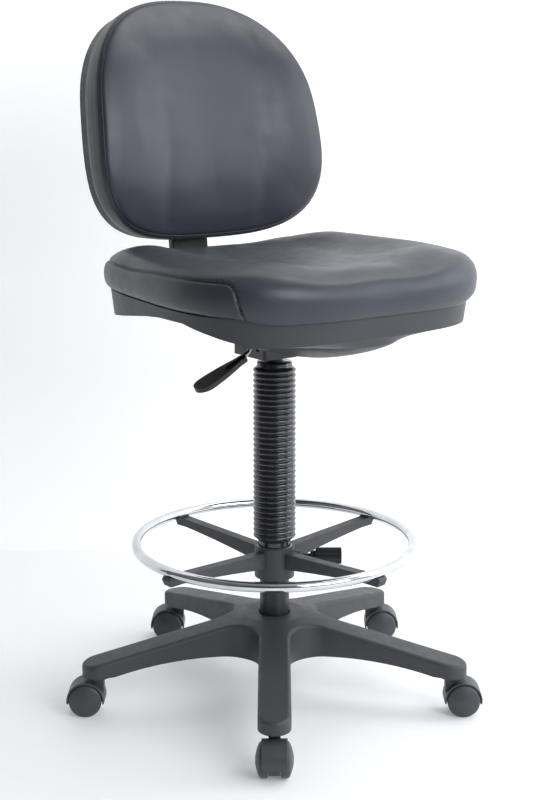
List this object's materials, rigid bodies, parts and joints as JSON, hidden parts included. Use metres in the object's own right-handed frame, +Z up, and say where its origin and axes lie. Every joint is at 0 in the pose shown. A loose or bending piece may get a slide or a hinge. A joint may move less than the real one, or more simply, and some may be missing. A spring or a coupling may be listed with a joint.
{
  "type": "drafting chair",
  "caption": "Tall swivel drafting chair: padded seat and height-adjustable back, gas lift under a bellows, chrome footring, five-arm base on twin-wheel casters.",
  "frame": {"origin": "on the floor under the column's axis", "axes": "+Z up along the column, -Y the way the sitter faces, +X to the sitter's left"},
  "size_m": [0.6912, 0.6557, 1.1826],
  "materials": {
    "base_nylon": "moulded nylon, satin",
    "steel": "bright zinc",
    "black_steel": "black powder coat",
    "bush_plastic": "natural acetal",
    "bellows_rubber": "glossy black vinyl rubber",
    "caster_nylon": "moulded nylon",
    "rubber": "moulded rubber",
    "plywood": "raw beech plywood",
    "shell_plastic": "fine grained charcoal polypropylene",
    "foam": "cut polyurethane foam",
    "vinyl": "black grained vinyl, satin",
    "handle_plastic": "moulded plastic",
    "collet_plastic": "light grey plastic",
    "ring_nylon": "moulded nylon",
    "chrome": "bright chrome plate"
  },
  "bodies": {
    "base": {"star_base": "base_nylon", "base_hub_ring": "steel", "column_tube": "black_steel", "column_bush": "bush_plastic", "stem_grip_rings": "steel", "bellows": "bellows_rubber"},
    "caster_1": {"caster_1_pins": "steel", "caster_1_hood": "caster_nylon"},
    "caster_1_left": {"caster_1_wheel_left": "caster_nylon"},
    "caster_1_right": {"caster_1_wheel_right": "caster_nylon"},
    "caster_2": {"caster_2_pins": "steel", "caster_2_hood": "caster_nylon"},
    "caster_2_left": {"caster_2_wheel_left": "caster_nylon"},
    "caster_2_right": {"caster_2_wheel_right": "caster_nylon"},
    "caster_3": {"caster_3_pins": "steel", "caster_3_hood": "caster_nylon"},
    "caster_3_left": {"caster_3_wheel_left": "caster_nylon"},
    "caster_3_right": {"caster_3_wheel_right": "caster_nylon"},
    "caster_4": {"caster_4_pins": "steel", "caster_4_hood": "caster_nylon"},
    "caster_4_left": {"caster_4_wheel_left": "caster_nylon"},
    "caster_4_right": {"caster_4_wheel_right": "caster_nylon"},
    "caster_5": {"caster_5_pins": "steel", "caster_5_hood": "caster_nylon"},
    "caster_5_left": {"caster_5_wheel_left": "caster_nylon"},
    "caster_5_right": {"caster_5_wheel_right": "caster_nylon"},
    "lift_rod": {"piston_rod": "steel", "thrust_bearing": "steel", "rod_clip": "steel", "rod_bumper": "rubber"},
    "seat": {"gas_cylinder": "black_steel", "rod_guide": "bush_plastic", "mechanism_housing": "black_steel", "seat_plate": "black_steel", "seat_plate_fasteners": "steel", "seat_board": "plywood", "seat_shell": "shell_plastic", "seat_shell_screws": "steel", "seat_foam": "foam", "seat_upholstery": "vinyl", "j_bar": "black_steel", "j_bar_cover": "shell_plastic", "j_bar_bolts": "steel", "lever_pin": "steel"},
    "lever": {"lever_rod": "steel", "lever_paddle": "handle_plastic"},
    "button": {"release_button": "steel"},
    "back": {"back_bracket": "black_steel", "ratchet_pawl": "steel", "back_board": "plywood", "back_foam": "foam", "back_upholstery": "vinyl", "back_shell": "shell_plastic", "back_screws": "steel"},
    "ring_collet": {"footring_collet": "collet_plastic"},
    "ring": {"footring_hub": "ring_nylon", "footring_ring": "chrome", "footring_screws": "steel"},
    "shoe": {"clamp_shoe": "steel"},
    "knob": {"footring_knob": "handle_plastic"}
  },
  "joints": [
    {"name": "caster_1_swivel", "type": "hinge", "parent": "base", "child": "caster_1", "pos_m": [-0.18104, -0.24918, 0.0636], "axis": [0, 0, 1], "continuous": true},
    {"name": "caster_1_left_roll", "type": "hinge", "parent": "caster_1", "child": "caster_1_left", "pos_m": [-0.19279, -0.26536, 0.027], "axis": [0.809, -0.5878, 0], "continuous": true},
    {"name": "caster_1_right_roll", "type": "hinge", "parent": "caster_1", "child": "caster_1_right", "pos_m": [-0.19279, -0.26536, 0.027], "axis": [0.809, -0.5878, 0], "continuous": true},
    {"name": "caster_2_swivel", "type": "hinge", "parent": "base", "child": "caster_2", "pos_m": [0.18104, -0.24918, 0.0636], "axis": [0, 0, 1], "continuous": true},
    {"name": "caster_2_left_roll", "type": "hinge", "parent": "caster_2", "child": "caster_2_left", "pos_m": [0.19722, -0.26093, 0.027], "axis": [0.5878, 0.809, 0], "continuous": true},
    {"name": "caster_2_right_roll", "type": "hinge", "parent": "caster_2", "child": "caster_2_right", "pos_m": [0.19722, -0.26093, 0.027], "axis": [0.5878, 0.809, 0], "continuous": true},
    {"name": "caster_3_swivel", "type": "hinge", "parent": "base", "child": "caster_3", "pos_m": [0.29292, 0.09518, 0.0636], "axis": [0, 0, 1], "continuous": true},
    {"name": "caster_3_left_roll", "type": "hinge", "parent": "caster_3", "child": "caster_3_left", "pos_m": [0.30911, 0.08342, 0.027], "axis": [0.5878, 0.809, 0], "continuous": true},
    {"name": "caster_3_right_roll", "type": "hinge", "parent": "caster_3", "child": "caster_3_right", "pos_m": [0.30911, 0.08342, 0.027], "axis": [0.5878, 0.809, 0], "continuous": true},
    {"name": "caster_4_swivel", "type": "hinge", "parent": "base", "child": "caster_4", "pos_m": [0, 0.308, 0.0636], "axis": [0, 0, 1], "continuous": true},
    {"name": "caster_4_left_roll", "type": "hinge", "parent": "caster_4", "child": "caster_4_left", "pos_m": [-0.01618, 0.31976, 0.027], "axis": [-0.5878, -0.809, 0], "continuous": true},
    {"name": "caster_4_right_roll", "type": "hinge", "parent": "caster_4", "child": "caster_4_right", "pos_m": [-0.01618, 0.31976, 0.027], "axis": [-0.5878, -0.809, 0], "continuous": true},
    {"name": "caster_5_swivel", "type": "hinge", "parent": "base", "child": "caster_5", "pos_m": [-0.29292, 0.09518, 0.0636], "axis": [0, 0, 1], "continuous": true},
    {"name": "caster_5_left_roll", "type": "hinge", "parent": "caster_5", "child": "caster_5_left", "pos_m": [-0.30911, 0.10693, 0.027], "axis": [-0.5878, -0.809, 0], "continuous": true},
    {"name": "caster_5_right_roll", "type": "hinge", "parent": "caster_5", "child": "caster_5_right", "pos_m": [-0.30911, 0.10693, 0.027], "axis": [-0.5878, -0.809, 0], "continuous": true},
    {"name": "seat_swivel", "type": "hinge", "parent": "base", "child": "lift_rod", "pos_m": [0, 0, 0.066], "axis": [0, 0, 1], "continuous": true},
    {"name": "seat_height", "type": "slide", "parent": "lift_rod", "child": "seat", "axis": [0, 0, 1], "range_m": [-0.19, 0], "deforming": ["bellows"]},
    {"name": "lever_lift", "type": "hinge", "parent": "seat", "child": "lever", "pos_m": [-0.024, 0, 0.641], "axis": [0, 1, 0], "range_deg": [0, 4.5], "stiffness_Nm_per_rad": 1.5, "springref_deg": -6.88},
    {"name": "button_press", "type": "slide", "parent": "seat", "child": "button", "axis": [0, 0, -1], "range_m": [0, 0.002]},
    {"name": "back_height", "type": "slide", "parent": "seat", "child": "back", "axis": [0, 0.1392, 0.9903], "range_m": [0, 0.06]},
    {"name": "footring_height", "type": "slide", "parent": "base", "child": "ring_collet", "axis": [0, 0, 1], "range_m": [-0.06, 0]},
    {"name": "footring_turn", "type": "hinge", "parent": "ring_collet", "child": "ring", "pos_m": [0, 0, 0.24], "axis": [0, 0, 1], "continuous": true},
    {"name": "clamp_travel", "type": "slide", "parent": "ring", "child": "shoe", "axis": [0.809, -0.5878, 0], "range_m": [0, 0.0019]},
    {"name": "knob_turn", "type": "hinge", "parent": "shoe", "child": "knob", "pos_m": [0.07281, -0.0529, 0.24], "axis": [0.809, -0.5878, 0], "range_deg": [0, 540]}
  ],
  "couplings": [
    {"joint": "button_press", "follows": "lever_lift", "m_per_rad": 0.024},
    {"joint": "clamp_travel", "follows": "knob_turn", "m_per_rad": 0.00019894}
  ]
}
